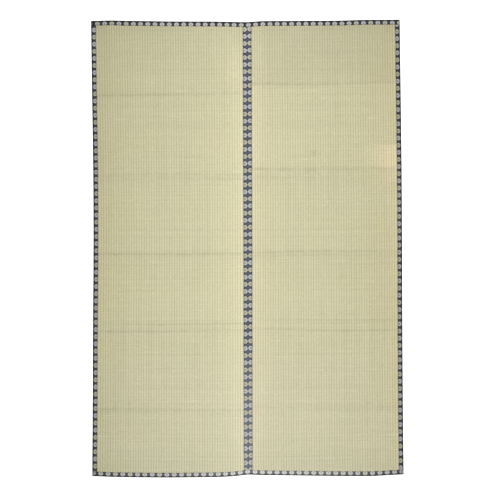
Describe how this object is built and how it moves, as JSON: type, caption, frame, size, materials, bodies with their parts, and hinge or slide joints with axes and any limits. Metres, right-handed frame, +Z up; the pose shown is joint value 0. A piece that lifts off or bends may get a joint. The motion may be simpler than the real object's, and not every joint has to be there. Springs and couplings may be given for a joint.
{
  "type": "tatami floor mat",
  "caption": "Flat woven rush floor mat of ribbed strips laid edge to edge, with a patterned tape over the joint and folded tape binding round every edge.",
  "frame": {"origin": "centre of the mat's outline, on the floor under it", "axes": "+Y along the ribs and the joint, +X across both strips, +Z up from the floor through the face"},
  "size_m": [1.7513, 2.6194, 0.0078],
  "materials": {
    "rush": "dry woven rush, pale straw green",
    "tape": "matt woven tape, indigo with pale roundels"
  },
  "bodies": {
    "root": {"rush_panel_left": "rush", "rush_panel_right": "rush", "centre_tape": "tape", "edge_binding_left": "tape", "edge_binding_right": "tape", "end_binding_top": "tape", "end_binding_bottom": "tape"}
  },
  "joints": []
}
